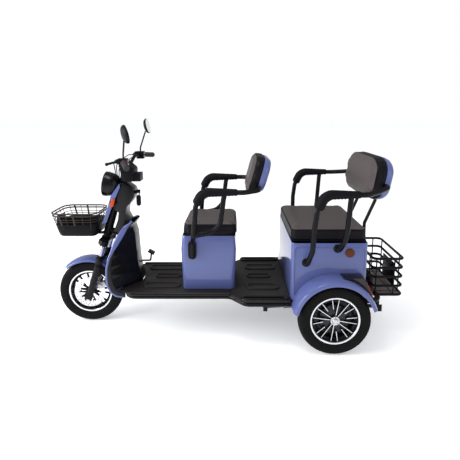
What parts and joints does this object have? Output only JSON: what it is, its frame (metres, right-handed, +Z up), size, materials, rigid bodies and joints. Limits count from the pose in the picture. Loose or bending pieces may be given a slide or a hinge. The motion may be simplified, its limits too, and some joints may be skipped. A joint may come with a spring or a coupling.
{
  "type": "electric tricycle",
  "caption": "Electric passenger tricycle with a steered front wheel, driven rear wheels, a rider's seat box, a wide rear bench, tube armrests and wire baskets.",
  "frame": {"origin": "on the ground, below the middle of the whole vehicle's box", "axes": "+X forward, +Y to the rider's left, +Z up"},
  "size_m": [2.1805, 0.894, 1.32],
  "materials": {
    "amber_lens": "clear amber",
    "battery_case": "plain case",
    "black_metal": "satin black powder coat",
    "black_plastic": "grained black",
    "bronze_wire": "black coated wire",
    "chrome": "polished",
    "clear_lens": "clear",
    "disc_steel": "ground steel",
    "floor_coat": "textured black",
    "grip_rubber": "soft black",
    "lilac_gloss": "gloss lilac",
    "rim_black": "gloss black cast alloy with machined ribs",
    "seat_vinyl": "dark grained vinyl",
    "smoke_lens": "smoked",
    "spring_steel": "black spring steel",
    "tyre": "matt black rubber"
  },
  "bodies": {
    "chassis": {"armrest_pads": "grip_rubber", "armrests": "black_metal", "battery_pack": "battery_case", "brake_pedal": "black_metal", "column_cover": "black_plastic", "drive_motor": "black_metal", "frame_ladder": "black_metal", "frame_side_rails": "black_metal", "front_backrest_pad": "seat_vinyl", "front_backrest_shell": "lilac_gloss", "front_basket": "bronze_wire", "front_cowl": "lilac_gloss", "front_floor": "floor_coat", "front_seat_box": "lilac_gloss", "head_tube": "black_metal", "headlamp_lens": "clear_lens", "headlamp_shell": "black_plastic", "ignition_key": "black_plastic", "leaf_springs": "spring_steel", "leg_shield_inner": "black_plastic", "leg_shield_outer": "lilac_gloss", "rear_axle": "black_metal", "rear_backrest_pad": "seat_vinyl", "rear_backrest_shell": "lilac_gloss", "rear_basket": "bronze_wire", "rear_body": "lilac_gloss", "rear_fender_left": "lilac_gloss", "rear_fender_right": "lilac_gloss", "rear_floor": "floor_coat", "rear_stays": "black_metal", "side_reflectors": "amber_lens", "spring_mounts": "black_metal", "tail_lamps": "smoke_lens", "turn_lamps": "amber_lens"},
    "steering": {"steering_stem": "black_metal", "fork_stanchions": "chrome", "fork_lowers": "black_metal", "front_fender": "lilac_gloss", "handlebar": "black_metal", "handlebar_grips": "grip_rubber", "hand_controls": "black_plastic", "handlebar_cover": "black_plastic", "mirrors": "black_plastic", "front_caliper": "black_metal"},
    "front_wheel": {"front_tyre": "tyre", "front_rim": "rim_black", "front_disc": "disc_steel"},
    "rear_wheel_left": {"rear_tyre_left": "tyre", "rear_rim_left": "rim_black"},
    "rear_wheel_right": {"rear_tyre_right": "tyre", "rear_rim_right": "rim_black"},
    "front_lid": {"front_seat_cushion": "seat_vinyl", "front_seat_pan": "black_plastic"},
    "rear_lid": {"rear_seat_cushion": "seat_vinyl", "rear_seat_pan": "black_plastic"}
  },
  "joints": [
    {"name": "steering", "type": "hinge", "parent": "chassis", "child": "steering", "pos_m": [0.88, 0, 0.2065], "axis": [-0.3007, 0, 0.9537], "range_deg": [-40, 40]},
    {"name": "front_wheel_spin", "type": "hinge", "parent": "steering", "child": "front_wheel", "pos_m": [0.88, 0, 0.2065], "axis": [0, 1, 0], "continuous": true},
    {"name": "rear_wheel_left_spin", "type": "hinge", "parent": "chassis", "child": "rear_wheel_left", "pos_m": [-0.63, 0.385, 0.2065], "axis": [0, 1, 0], "continuous": true},
    {"name": "rear_wheel_right_spin", "type": "hinge", "parent": "chassis", "child": "rear_wheel_right", "pos_m": [-0.63, -0.385, 0.2065], "axis": [0, 1, 0], "continuous": true},
    {"name": "front_seat_lid", "type": "hinge", "parent": "chassis", "child": "front_lid", "pos_m": [-0.074, 0, 0.63], "axis": [0, -1, 0], "range_deg": [0, 60]},
    {"name": "rear_seat_lid", "type": "hinge", "parent": "chassis", "child": "rear_lid", "pos_m": [-0.39, 0, 0.63], "axis": [0, 1, 0], "range_deg": [0, 70]}
  ]
}
